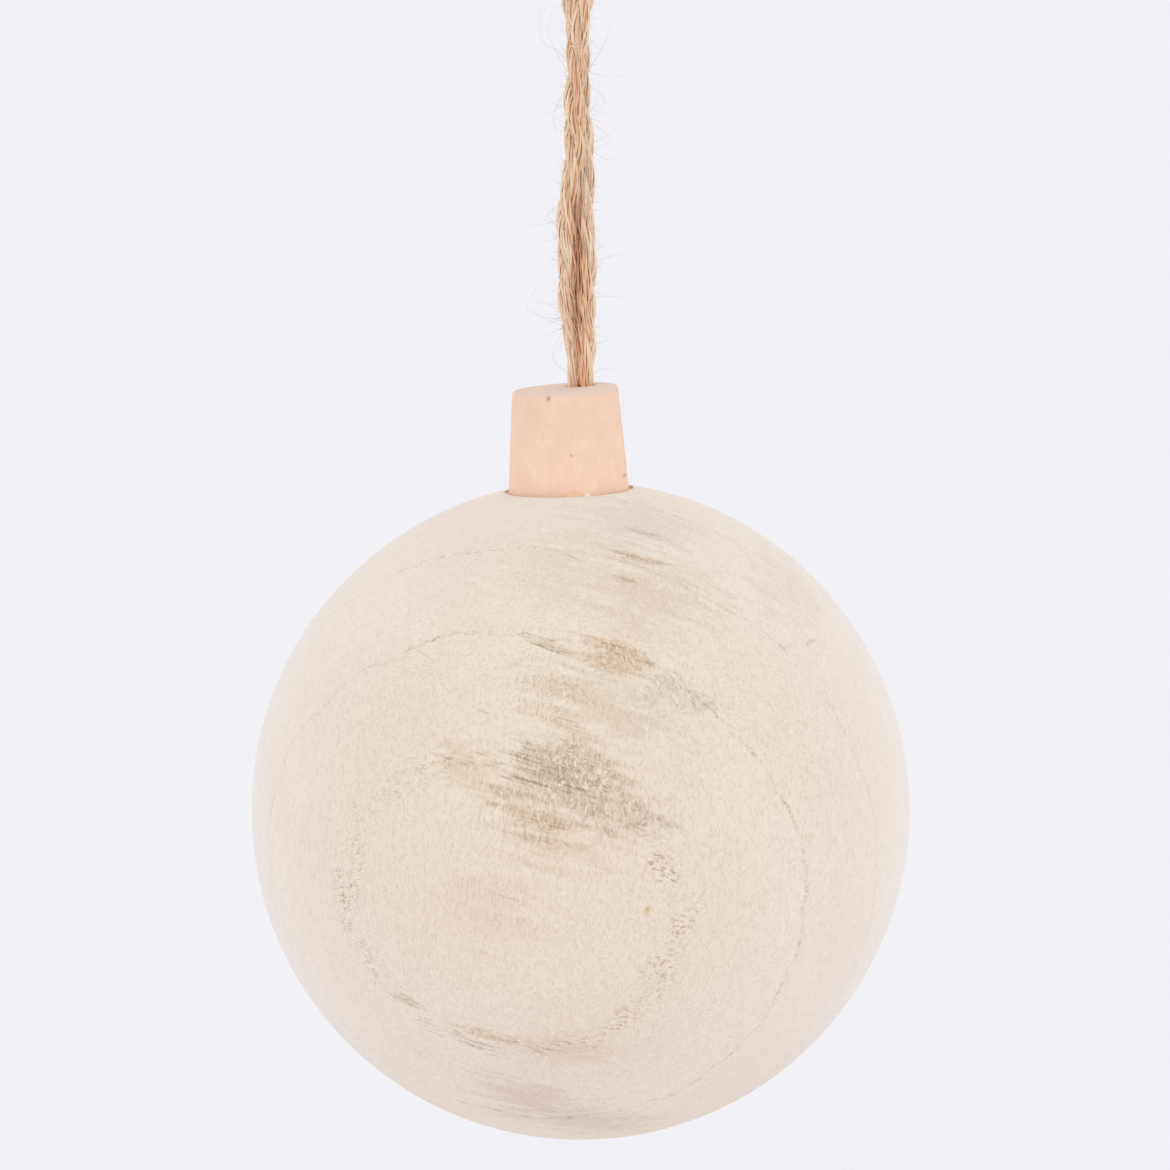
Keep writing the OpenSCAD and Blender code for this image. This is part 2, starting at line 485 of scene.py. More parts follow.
def knot():
    """An overhand knot in the cord's tied ends, drawn up against the cap's underside."""
    turn = np.linspace(0, 2 * math.pi, KNOT_STEPS)
    reach = (KNOT_D / 2 - CORD_R) / 3
    lift = (KNOT_H - CORD_D) / 2
    line = np.column_stack([
        reach * (np.sin(turn) + 2 * np.sin(2 * turn)),
        reach * (np.cos(turn) - 2 * np.cos(2 * turn)),
        -lift * np.sin(3 * turn),
    ])
    under_cap = HUNG @ Matrix.Translation((HOLE.x, HOLE.y, SEAT_H - KNOT_H / 2))
    line = line @ np.array(under_cap.to_3x3()).T + np.array(under_cap.translation)
    heading = np.gradient(line, axis=0)
    heading[0] = heading[-1] = line[1] - line[-2]
    across, deep = ring_ways(heading, np.array(CAP_AXIS))
    share = np.full(KNOT_STEPS, KNOT_CORD_SHARE)
    tubes, tones = twine(line, distances(line), across, deep, share, KNOT_SEED)
    return tubes_mesh("jute_knot", tubes, STRAND_SIDES, tones)


# Hand tools for the turned pieces
SMOOTH_ANGLE = math.radians(30)
MERGE_DISTANCE = 1e-7


def fresh():
    if bpy.context.object and bpy.context.object.mode != "OBJECT":
        bpy.ops.object.mode_set(mode="OBJECT")
    bpy.ops.object.select_all(action="DESELECT")


def hold(piece):
    """Selects one piece alone and makes it the one that operators act on."""
    fresh()
    piece.select_set(True)
    bpy.context.view_layer.objects.active = piece


def named(name):
    piece = bpy.context.object
    piece.name = name
    piece.data.name = name
    return piece


def place(piece, matrix):
    """Moves a piece to its place and puts that place in its mesh."""
    hold(piece)
    piece.matrix_world = matrix
    bpy.ops.object.transform_apply(location=True, rotation=True, scale=True)


def outward_normals():
    bpy.ops.object.mode_set(mode="EDIT")
    bpy.ops.mesh.select_all(action="SELECT")
    bpy.ops.mesh.remove_doubles(threshold=MERGE_DISTANCE)
    bpy.ops.mesh.normals_make_consistent(inside=False)
    bpy.ops.object.mode_set(mode="OBJECT")


# Ball
BALL_SEGMENTS = 350
BALL_RINGS = 256
LAYER_GROOVE = 0.00004
LAYER_GROOVE_W = 0.5
SANDED_WAVE = 0.00007
# Slow waves and faster ripples, per metre, and how strong the ripples are
WAVE_RATE = 45
RIPPLE_RATE = 160
RIPPLE_SHARE = 0.4
# The skin that sanding shaped: within this of the sphere, and this far below the seat's rim
SKIN_WITHIN = 0.00002
RIM_MARGIN = 0.0002


def turned_ball():
    fresh()
    bpy.ops.mesh.primitive_uv_sphere_add(segments=BALL_SEGMENTS, ring_count=BALL_RINGS, radius=BALL_R)
    ball = named("turned_ball")
    bpy.ops.object.mode_set(mode="EDIT")
    bpy.ops.mesh.select_all(action="SELECT")
    bpy.ops.mesh.bisect(plane_co=(0, 0, RIM_H), plane_no=(0, 0, 1), clear_outer=True)
    bpy.ops.mesh.extrude_edges_move(TRANSFORM_OT_translate={"value": (0, 0, -SEAT_RECESS)})
    bpy.ops.mesh.extrude_edges_move()
    shrink = POCKET_R / SEAT_R
    bpy.ops.transform.resize(value=(shrink, shrink, 1), center_override=(0, 0, SEAT_H))
    bpy.ops.mesh.extrude_edges_move(TRANSFORM_OT_translate={"value": (0, 0, -POCKET_DEPTH)})
    bpy.ops.mesh.extrude_edges_move()
    bpy.ops.mesh.merge(type="CENTER")
    bpy.ops.object.mode_set(mode="OBJECT")
    outward_normals()
    place(ball, HUNG)
    relief(ball)
    bpy.ops.object.shade_smooth_by_angle(angle=SMOOTH_ANGLE)
    return ball


def from_growth_line(offset):
    """How far each point lies from the nearest growth line, in millimetres, for points from the centre."""
    bow = LAYER_BOW * (offset @ np.array(BOW_WAY)) ** 2
    depth = FIRST_LAYER - offset @ np.array(LAYERS_OUT) - bow
    index = (np.sqrt(LAYER_WIDTH ** 2 + 4 * LAYER_GROWTH * depth) - LAYER_WIDTH) / (2 * LAYER_GROWTH)
    return np.abs(index - np.round(index)) * (LAYER_WIDTH + 2 * LAYER_GROWTH * index)


def sanded(point):
    return noise.noise(point * WAVE_RATE) + RIPPLE_SHARE * noise.noise(point * RIPPLE_RATE)


def relief(ball):
    """Sinks the growth lines a little and leaves the slow waves of hand sanding on the sphere."""
    points = np.empty(len(ball.data.vertices) * 3)
    ball.data.vertices.foreach_get("co", points)
    points = points.reshape(-1, 3)
    offset = points - np.array(BALL_CENTRE)
    radius = np.linalg.norm(offset, axis=1)
    skin = np.abs(radius - BALL_R) < SKIN_WITHIN
    skin &= (offset @ np.array(CAP_AXIS)) < RIM_H - RIM_MARGIN
    groove = np.exp(-(from_growth_line(offset / MM) / LAYER_GROOVE_W) ** 2)
    waves = np.array([sanded(Vector(p)) for p in offset])
    lift = np.where(skin, SANDED_WAVE * waves - LAYER_GROOVE * groove, 0)
    points += lift[:, None] * offset / radius[:, None]
    ball.data.vertices.foreach_set("co", points.ravel())
    ball.data.update()


# Cap
CAP_SEGMENTS = 192
HOLE_SEGMENTS = 96
EDGE_STEPS = 4
EDGE_ANGLE = math.radians(60)
CAP_SLANT = math.radians(1.7)
# Share of the cap's height above which the slant is taken up
SLANT_FROM = 0.6


def turned_cap():
    fresh()
    middle = CAP_H / 2
    bpy.ops.mesh.primitive_cone_add(
        vertices=CAP_SEGMENTS, radius1=CAP_FOOT_R, radius2=CAP_TOP_R, depth=CAP_H, location=(0, 0, middle)
    )
    cap = named("turned_cap")
    bpy.ops.object.transform_apply(location=True)
    bpy.ops.mesh.primitive_cylinder_add(
        vertices=HOLE_SEGMENTS, radius=HOLE_R, depth=2 * CAP_H, location=(HOLE.x, HOLE.y, middle)
    )
    drill = named("drill")
    cut = cap.modifiers.new("cord_hole", "BOOLEAN")
    cut.operation = "DIFFERENCE"
    cut.solver = "EXACT"
    cut.object = drill
    hold(cap)
    bpy.ops.object.modifier_apply(modifier=cut.name)
    bpy.data.objects.remove(drill)
    edge = cap.modifiers.new("broken_edge", "BEVEL")
    edge.limit_method = "ANGLE"
    edge.angle_limit = EDGE_ANGLE
    edge.width = CAP_EDGE_R
    edge.segments = EDGE_STEPS
    bpy.ops.object.modifier_apply(modifier=edge.name)
    outward_normals()
    saw_aslant(cap)
    place(cap, HUNG @ Matrix.Translation((0, 0, SEAT_H)))
    bpy.ops.object.shade_smooth_by_angle(angle=SMOOTH_ANGLE)
    return cap


def saw_aslant(cap):
    """The top was sawn a little out of square: lower on the photograph's left."""
    for vertex in cap.data.vertices:
        share = max(0, vertex.co.z / CAP_H - SLANT_FROM) / (1 - SLANT_FROM)
        vertex.co.z += share * math.tan(CAP_SLANT) * vertex.co.x


# Beads of glue round the cap's foot: first and last angle from the front, thickness, height and tone
BEADS = [(-4, 15, 0.0005, 0.00034, 0.3), (13, 21, 0.00036, 0.00022, 1.0)]
BEAD_STEPS = 25
BEAD_SIDES = 14
BEAD_OUT = 0.00005


def glue_bead():
    """Glue squeezed out at the front of the seam, with a pale crumb of wood stuck in it."""
    draw = random.Random(GLUE_SEED)
    tubes, tones = [], []
    reach = CAP_FOOT_R + BEAD_OUT
    share = np.linspace(0, 1, BEAD_STEPS)
    flat = np.zeros(BEAD_STEPS)
    up = np.tile((0.0, 0.0, 1.0), (BEAD_STEPS, 1))
    for first, last, thick, lift, tone in BEADS:
        angle = np.radians(-90 + first + (last - first) * share)
        out = np.column_stack([np.cos(angle), np.sin(angle), flat])
        radii = thick * (np.sin(math.pi * np.clip(share, 0.02, 0.98)) ** 0.45)
        radii *= 1 + 0.12 * slow_waver(draw, share * 0.002, 0.0006, 0.0015)
        tubes.append((reach * out + (SEAT_H + lift) * up, up, out, radii))
        tones.append(np.full(BEAD_STEPS, tone))
    bead = tubes_mesh("dried_glue", tubes, BEAD_SIDES, tones)
    place(bead, HUNG)
    return bead


# Shader nodes
def feed(tree, socket, value):
    """Links an input to another node's output, or sets it to a plain value."""
    if isinstance(value, bpy.types.NodeSocket):
        tree.links.new(value, socket)
    else:
        socket.default_value = value


def node(tree, kind, *values, **settings):
    """Adds a node. Plain values feed its first inputs, capitalised settings its inputs of that name."""
    made = tree.nodes.new("ShaderNode" + kind)
    for title, value in settings.items():
        if title.islower():
            setattr(made, title, value)
        else:
            feed(tree, made.inputs[title], value)
    for socket, value in zip(made.inputs, values):
        feed(tree, socket, value)
    return made


def math_of(tree, operation, *values):
    return node(tree, "Math", *values, operation=operation).outputs[0]


def plus(tree, first, second):
    return math_of(tree, "ADD", first, second)


def minus(tree, first, second):
    return math_of(tree, "SUBTRACT", first, second)


def times(tree, first, second):
    return math_of(tree, "MULTIPLY", first, second)


def larger(tree, first, second):
    return math_of(tree, "MAXIMUM", first, second)


def vector_of(tree, operation, *values):
    made = node(tree, "VectorMath", *values, operation=operation)
    return made.outputs["Value" if operation in ("DOT_PRODUCT", "LENGTH") else "Vector"]


def stretched(tree, point, stretch):
    return vector_of(tree, "MULTIPLY", point, stretch)


def step_between(tree, value, low, high):
    """0 below the first limit and 1 past the second, with a smooth step between them."""
    return node(tree, "MapRange", value, low, high, interpolation_type="SMOOTHSTEP").outputs["Result"]


def noise_of(tree, vector, scale, detail=2.0, roughness=0.5):
    made = node(tree, "TexNoise", Vector=vector, Scale=scale, Detail=detail, Roughness=roughness)
    return made.outputs["Fac"]


def about_zero(tree, share):
    """A share from 0 to 1, spread from -1 to 1."""
    return math_of(tree, "MULTIPLY_ADD", share, 2, -1)


def mix_colour(tree, share, first, second, blend="MIX"):
    made = node(tree, "Mix", data_type="RGBA", blend_type=blend)
    for socket, value in ((0, share), (6, first), (7, second)):
        feed(tree, made.inputs[socket], value)
    return made.outputs[2]


def tinted(tree, colour, tint):
    return mix_colour(tree, 1.0, colour, tint, "MULTIPLY")


def millimetres(tree, origin):
    """Object coordinates in millimetres from a point."""
    here = node(tree, "TexCoord").outputs["Object"]
    return stretched(tree, vector_of(tree, "SUBTRACT", here, origin), (1000, 1000, 1000))


def strand_tone(tree):
    return node(tree, "Attribute", attribute_name="tone").outputs["Fac"]


def new_material(name):
    material = bpy.data.materials.new(name)
    material.use_nodes = True
    tree = material.node_tree
    return material, tree, tree.nodes["Principled BSDF"]


def dress(tree, shader, colour, roughness, specular=0.5):
    feed(tree, shader.inputs["Base Color"], colour)
    feed(tree, shader.inputs["Roughness"], roughness)
    feed(tree, shader.inputs["Specular IOR Level"], specular)


def raise_grain(tree, shader, height, strength, distance):
    bump = node(tree, "Bump", Strength=strength, Distance=distance, Height=height)
    feed(tree, shader.inputs["Normal"], bump.outputs["Normal"])


def new_group(name, inputs, outputs):
    """A shader node group with named sockets. Inputs give a socket kind and its value."""
    group = bpy.data.node_groups.new(name, "ShaderNodeTree")
    for title, (kind, value) in inputs.items():
        socket = group.interface.new_socket(title, in_out="INPUT", socket_type=kind)
        socket.default_value = value
    for title, kind in outputs.items():
        group.interface.new_socket(title, in_out="OUTPUT", socket_type=kind)
    return group, group.nodes.new("NodeGroupInput").outputs, group.nodes.new("NodeGroupOutput").inputs


def use_group(tree, group, **values):
    made = tree.nodes.new("ShaderNodeGroup")
    made.node_tree = group
    for title, value in values.items():
        feed(tree, made.inputs[title], value)
    return made.outputs


def stain_group():
    """A soft, ragged spot: its strength in its middle, 0 beyond its size, broken up by the streaks given."""
    group, given, out = new_group(
        "wood_stain",
        {
            "Point": ("NodeSocketVector", (0, 0, 0)),
            "Middle": ("NodeSocketVector", (0, 0, 0)),
            "Size": ("NodeSocketVector", (1, 1, 1)),
            "Streaks": ("NodeSocketFloat", 0),
            "Raggedness": ("NodeSocketFloat", 0.6),
            "Strength": ("NodeSocketFloat", 1),
        },
        {"Mask": "NodeSocketFloat"},
    )
    apart = vector_of(group, "SUBTRACT", given["Point"], given["Middle"])
    reach = vector_of(group, "LENGTH", vector_of(group, "DIVIDE", apart, given["Size"]))
    reach = minus(group, reach, times(group, given["Streaks"], given["Raggedness"]))
    mask = node(group, "MapRange", reach, 1.0, 0.1, 0.0, given["Strength"], interpolation_type="SMOOTHSTEP")
    feed(group, out["Mask"], mask.outputs["Result"])
    return group


def nap_group():
    """The nap that sanding raises on soft wood: pale hairs with a painted highlight and dark flecks of
    painted shade beside them, as masks and a height.
    """
    group, given, out = new_group(
        "raised_nap",
        {"Point": ("NodeSocketVector", (0, 0, 0)), "Stretch": ("NodeSocketVector", (5.0, 5.0, 1.5))},
        {"Height": "NodeSocketFloat", "Flecks": "NodeSocketFloat", "Hairs": "NodeSocketFloat"},
    )
    drift = node(group, "TexNoise", Vector=given["Point"], Scale=0.5, Detail=1.0).outputs["Color"]
    drift = stretched(group, drift, (1.6, 1.6, 1.6))
    point = stretched(group, vector_of(group, "ADD", given["Point"], drift), given["Stretch"])
    fibres = noise_of(group, point, 1.0, 3.0, 0.6)
    coarse = noise_of(group, stretched(group, point, (0.45, 0.45, 0.45)), 1.0, 1.0)
    height = plus(group, times(group, fibres, 0.7), times(group, coarse, 0.3))
    flecks = step_between(group, height, 0.5, 0.38)
    hairs = step_between(group, height, 0.53, 0.61)
    feed(group, out["Height"], minus(group, hairs, flecks))
    feed(group, out["Flecks"], flecks)
    feed(group, out["Hairs"], hairs)
    return group


# Wood of the ball
BALL_CREAM = srgb(246, 233, 215)
BALL_PINK = srgb(243, 226, 208)
BALL_HEART = srgb(242, 222, 202)
PORE_BROWN = srgb(158, 121, 86)
# Painted shade of the nap's raised fibres, and their pale colour with a painted highlight
NAP_SHADE = (0.895, 0.87, 0.845, 1)
NAP_HAIR_HIGHLIGHT = srgb(250, 238, 221)
# Painted sheen that whitens the ball where it is seen along the surface
EDGE_SHEEN_WHITE = srgb(247, 240, 233)
LAYER_WANDER = 2.6

# Stains of the ball, and one patch of painted shade: the photograph's pixel, half length along the grain and
# across it in millimetres, the colour it turns the wood to, and how strongly
STAINS = [
    ((568, 776), (9.5, 6.5), srgb(214, 192, 167), 0.62),
    ((550, 769), (5.5, 3.0), srgb(202, 180, 156), 0.55),
    ((610, 812), (8.5, 4.5), srgb(212, 190, 166), 0.55),
    ((600, 705), (8.0, 6.5), srgb(222, 200, 176), 0.55),
    ((622, 655), (5.0, 2.4), srgb(214, 178, 138), 0.55),
    ((552, 646), (6.5, 0.55), srgb(204, 174, 138), 0.4),
    ((668, 683), (4.0, 1.6), srgb(204, 187, 168), 0.42),
    ((698, 704), (4.0, 1.6), srgb(208, 191, 172), 0.38),
    ((636, 558), (4.6, 0.4), srgb(206, 164, 120), 0.55),
    ((628, 580), (2.4, 0.3), srgb(210, 170, 130), 0.55),
    ((650, 535), (3.0, 0.25), srgb(210, 176, 146), 0.4),
    ((655, 590), (11.0, 7.5), srgb(226, 202, 182), 0.55),
    ((650, 520), (7.5, 4.0), srgb(228, 204, 192), 0.6),
    ((490, 1036), (5.0, 1.0), srgb(222, 184, 142), 0.65),
    ((412, 1003), (3.0, 0.9), srgb(206, 176, 140), 0.6),
    ((527, 1097), (9.0, 5.0), srgb(224, 194, 180), 0.65),
    ((652, 911), (0.9, 0.9), srgb(242, 208, 150), 0.6),
    ((497, 905), (10.0, 8.0), srgb(234, 208, 188), 0.5),
    ((470, 765), (7.0, 3.6), srgb(224, 198, 172), 0.5),
    ((560, 850), (8.0, 5.0), srgb(228, 202, 176), 0.5),
    ((535, 818), (8.0, 4.5), srgb(214, 184, 152), 0.45),
    ((545, 690), (7.5, 4.5), srgb(222, 195, 166), 0.4),
    # This patch is painted shade: it greys the upper right of the ball, where less light falls
    ((790, 585), (9.0, 6.0), srgb(228, 208, 192), 0.55),
    ((600, 530), (9.0, 5.0), srgb(230, 210, 192), 0.4),
    ((585, 1122), (14.0, 5.0), srgb(222, 198, 184), 0.6),
    ((655, 825), (4.5, 3.2), srgb(206, 186, 166), 0.22),
    ((560, 1050), (12.0, 4.0), srgb(228, 202, 180), 0.45),
    ((560, 575), (9.0, 4.0), srgb(232, 210, 186), 0.45),
    ((655, 708), (7.0, 4.5), srgb(224, 205, 186), 0.4),
    ((809, 643), (0.45, 0.3), srgb(150, 130, 112), 0.7),
]
STAIN_DEPTH = 12
# A stain narrower than this is streaky rather than banded
STREAKY = 2
# Grime sits in the streaky stains and in those whose blue is darker than this
GRIMY_BLUE = srgb(0, 0, 168)[2]

# Single dark streaks, given in the same way
STREAKS = [
    ((513, 780), (2.2, 0.16), 0.7),
    ((522, 757), (1.5, 0.24), 0.75),
    ((575, 788), (3.6, 0.3), 0.75),
    ((541, 785), (5.2, 0.24), 0.85),
    ((592, 797), (2.4, 0.18), 0.7),
    ((565, 768), (2.6, 0.16), 0.6),
    ((535, 820), (2.6, 0.14), 0.6),
    ((556, 827), (2.0, 0.14), 0.55),
    ((545, 832), (2.4, 0.12), 0.4),
    ((510, 898), (3.2, 0.14), 0.35),
    ((484, 1031), (2.2, 0.14), 0.6),
    ((505, 1041), (2.6, 0.14), 0.5),
    ((420, 1008), (1.6, 0.16), 0.6),
    ((545, 648), (3.2, 0.16), 0.6),
    ((565, 652), (2.2, 0.14), 0.5),
    ((620, 647), (2.6, 0.16), 0.6),
    ((640, 661), (2.0, 0.16), 0.55),
    ((632, 556), (3.6, 0.16), 0.65),
    ((660, 563), (2.4, 0.14), 0.5),
    ((628, 580), (1.8, 0.14), 0.5),
    ((645, 533), (2.6, 0.12), 0.4),
    ((560, 718), (2.8, 0.14), 0.4),
    ((580, 728), (2.2, 0.14), 0.4),
    ((480, 710), (1.4, 0.2), 0.35),
    ((555, 1050), (3.0, 0.12), 0.4),
    ((570, 556), (3.0, 0.1), 0.3),
    ((420, 652), (3.0, 0.1), 0.35),
]
STREAK_DEPTH = 3
STREAK_RAGGEDNESS = 0.9


def growth_layers(tree, point, out, wander):
    """Millimetres from the nearest line between two years, and a mask of the innermost of the years seen."""
    bow = math_of(tree, "ABSOLUTE", vector_of(tree, "DOT_PRODUCT", point, tuple(BOW_WAY)))
    bow = times(tree, math_of(tree, "POWER", bow, 2), LAYER_BOW)
    level = plus(tree, plus(tree, out, bow), wander)
    depth = times(tree, minus(tree, FIRST_LAYER, level), 4 * LAYER_GROWTH)
    root = math_of(tree, "SQRT", larger(tree, plus(tree, depth, LAYER_WIDTH ** 2), 0))
    index = math_of(tree, "DIVIDE", minus(tree, root, LAYER_WIDTH), 2 * LAYER_GROWTH)
    phase = minus(tree, math_of(tree, "FRACT", plus(tree, index, 0.5)), 0.5)
    apart = times(tree, math_of(tree, "ABSOLUTE", phase), root)
    inner = minus(tree, 1, step_between(tree, index, 0.2, 0.8))
    return apart, inner


def pore_lines(tree, point, along, apart, inner, pores, dashes):
    """Pores crowd at the growth lines, and a thin broken seam runs along each line."""
    patchy = step_between(tree, noise_of(tree, point, 0.3, 2.0), 0.36, 0.6)
    reach = plus(tree, 0.35, times(tree, inner, 0.75))
    band = minus(tree, 1, step_between(tree, math_of(tree, "DIVIDE", apart, reach), 0.1, 1.0))
    seam = minus(tree, 1, step_between(tree, apart, 0.0, 0.25))
    seam = times(tree, seam, step_between(tree, dashes, 0.4, 0.55))
    seam = times(tree, seam, minus(tree, 0.48, times(tree, inner, 0.38)))
    clear = plus(tree, 0.3, times(tree, step_between(tree, along, -30, 8), 0.65))
    lines = larger(tree, times(tree, band, pores), times(tree, seam, clear))
    return times(tree, lines, plus(tree, 0.2, times(tree, patchy, 0.52)))


def stained(tree, stain, colour, wood, ragged, bands):
    """The colour with the stains on it, and a mask of the places that hold grime."""
    soiled = 0.0
    for (x, y), (length, width), tint, strength in STAINS:
        banded = width > STREAKY
        mask = use_group(
            tree,
            stain,
            Point=wood,
            Middle=in_wood(on_ball(x, y)),
            Size=(length, width, STAIN_DEPTH),
            Streaks=bands if banded else ragged,
            Raggedness=0.9 if banded else 0.6,
            Strength=strength,
        )["Mask"]
        colour = mix_colour(tree, mask, colour, tint)
        if not banded or tint[2] < GRIMY_BLUE:
            soiled = larger(tree, soiled, mask)
    return colour, soiled


def streaked(tree, stain, dark, wood, ragged):
    """The dark mask with the single streaks in it."""
    for (x, y), (length, width), strength in STREAKS:
        mask = use_group(
            tree,
            stain,
            Point=wood,
            Middle=in_wood(on_ball(x, y)),
            Size=(length, width, STREAK_DEPTH),
            Streaks=ragged,
            Raggedness=STREAK_RAGGEDNESS,
            Strength=strength,
        )["Mask"]
        dark = larger(tree, dark, mask)
    return dark


def painted_edge_sheen(tree, colour, point):
    """Painted sheen: the wood is mixed toward white where it is seen along the surface, less so near the
    foot and the crown.
    """
    facing = node(tree, "LayerWeight", Blend=0.35).outputs["Facing"]
    edge = times(tree, step_between(tree, facing, 0.1, 0.9), 0.9)
    height = node(tree, "SeparateXYZ", point).outputs["Z"]
    edge = times(tree, edge, step_between(tree, height, -39, -18))
    crown = times(tree, step_between(tree, height, 16, 34), 0.4)
    edge = times(tree, edge, minus(tree, 1, crown))
    return mix_colour(tree, edge, colour, EDGE_SHEEN_WHITE)


def ball_wood(stain):
    material, tree, shader = new_material("ball_wood")
    point = millimetres(tree, tuple(BALL_CENTRE))
    along = vector_of(tree, "DOT_PRODUCT", point, tuple(GRAIN))
    across = vector_of(tree, "DOT_PRODUCT", point, tuple(ACROSS))
    out = vector_of(tree, "DOT_PRODUCT", point, tuple(LAYERS_OUT))
    wander = times(tree, minus(tree, noise_of(tree, point, 0.16, 3.0), 0.5), LAYER_WANDER)
    swayed = math_of(tree, "MULTIPLY_ADD", wander, 2, along)
    wood = node(tree, "CombineXYZ", swayed, across, out).outputs[0]
    apart, inner = growth_layers(tree, point, out, wander)

    # Pores: thin dark tubes along the grain, and the broader bands that stains run in
    streaks = noise_of(tree, stretched(tree, wood, (0.3, 3.0, 3.0)), 1.0, 2.0, 0.55)
    dashes = noise_of(tree, stretched(tree, wood, (0.6, 3.6, 3.6)), 1.0, 1.0)
    bands = noise_of(tree, stretched(tree, wood, (0.1, 0.8, 0.8)), 1.0, 2.0, 0.6)
    pores = larger(tree, step_between(tree, streaks, 0.54, 0.66), step_between(tree, dashes, 0.6, 0.7))
    ragged = about_zero(tree, streaks)
    lines = pore_lines(tree, point, along, apart, inner, pores, dashes)

    # Ground colour, stains and dark marks
    cloud = step_between(tree, noise_of(tree, point, 0.05, 2.0), 0.3, 0.7)
    colour = mix_colour(tree, cloud, BALL_CREAM, BALL_PINK)
    colour = mix_colour(tree, times(tree, inner, 0.5), colour, BALL_HEART)
    colour, soiled = stained(tree, stain, colour, wood, ragged, about_zero(tree, bands))
    nap = use_group(tree, nap_group(), Point=point)
    grime = math_of(tree, "MULTIPLY_ADD", nap["Flecks"], 0.62, times(tree, pores, 0.24))
    dark = larger(tree, lines, times(tree, soiled, grime))
    dark = streaked(tree, stain, dark, wood, ragged)
    colour = mix_colour(tree, times(tree, dark, 0.8), colour, PORE_BROWN)

    # Nap, with painted shade in its flecks and a painted highlight on its hairs, which show best on the
    # soiled wood
    colour = mix_colour(tree, nap["Flecks"], colour, tinted(tree, colour, NAP_SHADE))
    shown = times(tree, nap["Hairs"], math_of(tree, "MULTIPLY_ADD", soiled, 0.6, 0.34))
    colour = mix_colour(tree, shown, colour, NAP_HAIR_HIGHLIGHT)
    # The colour gets a painted sheen at the edges
    dress(tree, shader, painted_edge_sheen(tree, colour, point), roughness=0.85, specular=0.3)
    raise_grain(tree, shader, nap["Height"], 0.5, 0.00005)
    shader.inputs["Sheen Weight"].default_value = 0.3
    shader.inputs["Sheen Roughness"].default_value = 0.4
    return material


# Wood of the cap
CAP_PEACH = srgb(246, 213, 189)
CAP_GRAIN = srgb(243, 208, 183)
CAP_END = srgb(232, 209, 193)
CAP_SPECK = srgb(120, 84, 66)
CAP_WARMER = (0.975, 0.965, 0.955, 1)
CAP_PALER = (1.04, 1.05, 1.06, 1)
CAP_LIT = (1.05, 1.06, 1.07, 1)
# Specks of the cap: the photograph's pixel, the half size across and up in millimetres, and how strong
SPECKS = [
    ((549, 394), (0.36, 0.5), 0.48),
    ((571, 450), (0.26, 0.26), 0.48),
    ((624, 472), (0.3, 0.42), 0.48),
    ((543, 431), (0.3, 1.2), 0.1),
]
SPECK_DEPTH = 4


def cap_wood(stain):
    material, tree, shader = new_material("cap_wood")
    point = millimetres(tree, tuple(BALL_CENTRE))
    fine = noise_of(tree, stretched(tree, point, (3.0, 3.0, 0.6)), 1.0, 3.0, 0.6)
    broad = noise_of(tree, stretched(tree, point, (0.4, 0.4, 0.15)), 1.0, 2.0)
    mottle = noise_of(tree, point, 0.35, 3.0)
    colour = mix_colour(tree, step_between(tree, fine, 0.3, 0.7), CAP_GRAIN, CAP_PEACH)
    warm = step_between(tree, broad, 0.35, 0.65)
    colour = mix_colour(tree, warm, colour, tinted(tree, colour, CAP_WARMER))
    pale = step_between(tree, mottle, 0.4, 0.7)
    colour = mix_colour(tree, pale, colour, tinted(tree, colour, CAP_PALER))

    # Light from the ball under it makes the cap's foot paler, and end grain greys its top
    height = vector_of(tree, "DOT_PRODUCT", point, tuple(CAP_AXIS))
    foot = step_between(tree, height, SEAT_H / MM + 11, SEAT_H / MM + 2)
    colour = mix_colour(tree, foot, colour, tinted(tree, colour, CAP_LIT))
    end_grain = step_between(tree, height, MOUTH_H / MM - 0.55, MOUTH_H / MM - 0.25)
    colour = mix_colour(tree, times(tree, end_grain, 0.8), colour, CAP_END)
    ragged = about_zero(tree, fine)
    for (x, y), (wide, high), strength in SPECKS:
        mask = use_group(
            tree,
            stain,
            Point=point,
            Middle=on_cap(x, y),
            Size=(wide, SPECK_DEPTH, high),
            Streaks=ragged,
            Raggedness=0.8,
            Strength=strength,
        )["Mask"]
        colour = mix_colour(tree, mask, colour, CAP_SPECK)
    dress(tree, shader, colour, roughness=0.7, specular=0.35)
    raise_grain(tree, shader, fine, 0.25, 0.00006)
    return material


# Jute and glue
JUTE_DARK = srgb(226, 156, 104)
JUTE_PALE = srgb(255, 236, 205)
# Painted shade in the groove between the cord's legs
JUTE_GROOVE_SHADE = srgb(168, 106, 64)
# Painted light: a sheen along the cord's sides and a paler upper part
JUTE_PAINTED_LIGHT = srgb(255, 242, 220)
FUZZ_DARK = srgb(205, 180, 155)
FUZZ_PALE = srgb(244, 230, 212)
JUTE_ROUGHNESS = 0.75
GLUE_AMBER = srgb(233, 182, 128)
GLUE_CRUMB = srgb(252, 238, 220)
# Sideways place of the middle of the doubled cord
PAIR_DRIFT = -0.0003


